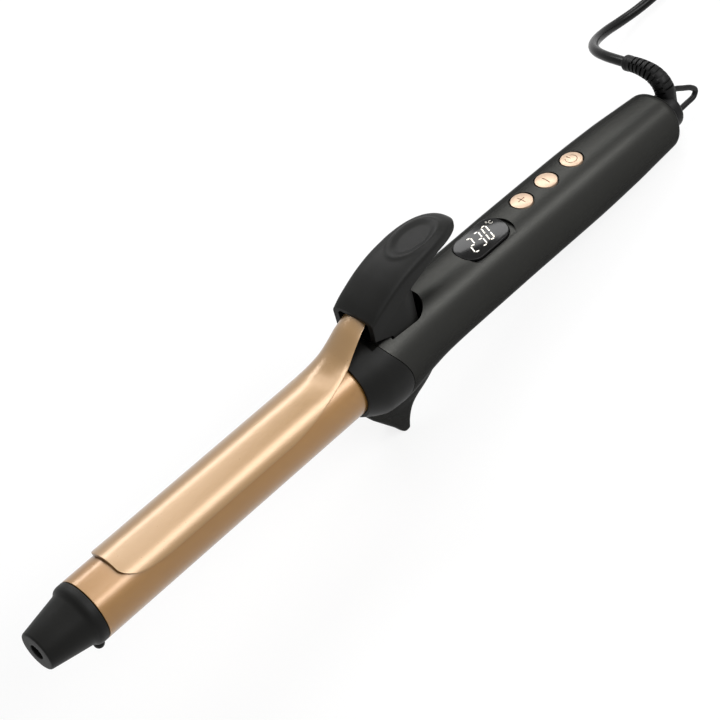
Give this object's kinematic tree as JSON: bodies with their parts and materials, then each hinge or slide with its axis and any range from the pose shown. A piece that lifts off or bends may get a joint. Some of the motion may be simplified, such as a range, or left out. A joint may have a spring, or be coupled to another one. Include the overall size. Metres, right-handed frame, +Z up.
{
  "type": "curling iron",
  "caption": "Curling iron: round rose gold barrel with a sprung clamp and thumb lever, dark grey handle with a display and buttons, swivel cord and plug, lying on its foot.",
  "frame": {"origin": "on the table, under the middle of the iron's own box, which leaves out the cord, its tie and its plug", "axes": "+X along the iron from its tip to the cord end, +Z up from the table it lies on, +Y to the side that the cord leaves on"},
  "size_m": [0.5553, 0.0952, 0.0729],
  "materials": {
    "rose_gold": "satin rose gold coating",
    "lacquer": "satin dark grey lacquer",
    "black_plastic": "matte black heat-proof plastic",
    "rubber": "smooth black rubber",
    "window": "glossy black window",
    "button_gold": "pale rose gold, satin",
    "steel": "plain steel",
    "aluminium": "drawn aluminium",
    "ceramic": "fired ceramic",
    "board": "green board",
    "brass": "turned brass"
  },
  "bodies": {
    "handle": {"tip_cap": "black_plastic", "tip_screw": "steel", "barrel": "rose_gold", "heater_core_upper": "aluminium", "heater_core_lower": "aluminium", "heating_plate": "ceramic", "thermostat": "steel", "pivot_pin": "steel", "torsion_spring": "steel", "collar": "black_plastic", "handle_shell": "lacquer", "display_lens": "window", "display_module": "board", "switch_plus": "black_plastic", "switch_minus": "black_plastic", "switch_power": "black_plastic", "control_board": "board", "chassis": "black_plastic", "handle_screw_1": "steel", "handle_screw_2": "steel", "swivel_bush": "black_plastic", "brush_block": "brass"},
    "clamp": {"thumb_lever": "black_plastic", "clamp_plate": "rose_gold", "clamp_rivet_1": "steel", "clamp_rivet_2": "steel"},
    "plus_key": {"button_plus": "button_gold"},
    "minus_key": {"button_minus": "button_gold"},
    "power_key": {"button_power": "button_gold"},
    "swivel": {"strain_relief": "rubber", "swivel_clip": "steel", "contact_ring_1": "brass", "contact_ring_2": "brass", "cord": "rubber", "cord_hank": "rubber", "hank_tie": "black_plastic", "plug_body": "black_plastic", "plug_pin_left": "steel", "plug_pin_right": "steel"}
  },
  "joints": [
    {"name": "clamp_hinge", "type": "hinge", "parent": "handle", "child": "clamp", "pos_m": [0.00023, -0.00182, 0.04313], "axis": [0, 1, 0], "range_deg": [0, 20], "stiffness_Nm_per_rad": 0.6, "springref_deg": -13.75},
    {"name": "plus_press", "type": "slide", "parent": "handle", "child": "plus_key", "axis": [-0.1351, 0, -0.9908], "range_m": [0, 0.0005], "stiffness_N_per_m": 350, "springref_m": -0.0006},
    {"name": "minus_press", "type": "slide", "parent": "handle", "child": "minus_key", "axis": [-0.1351, 0, -0.9908], "range_m": [0, 0.0005], "stiffness_N_per_m": 350, "springref_m": -0.0006},
    {"name": "power_press", "type": "slide", "parent": "handle", "child": "power_key", "axis": [-0.1351, 0, -0.9908], "range_m": [0, 0.0005], "stiffness_N_per_m": 350, "springref_m": -0.0006},
    {"name": "cord_swivel", "type": "hinge", "parent": "handle", "child": "swivel", "pos_m": [0.15791, -0.00182, 0.01154], "axis": [0.9908, 0, -0.1351], "continuous": true}
  ]
}
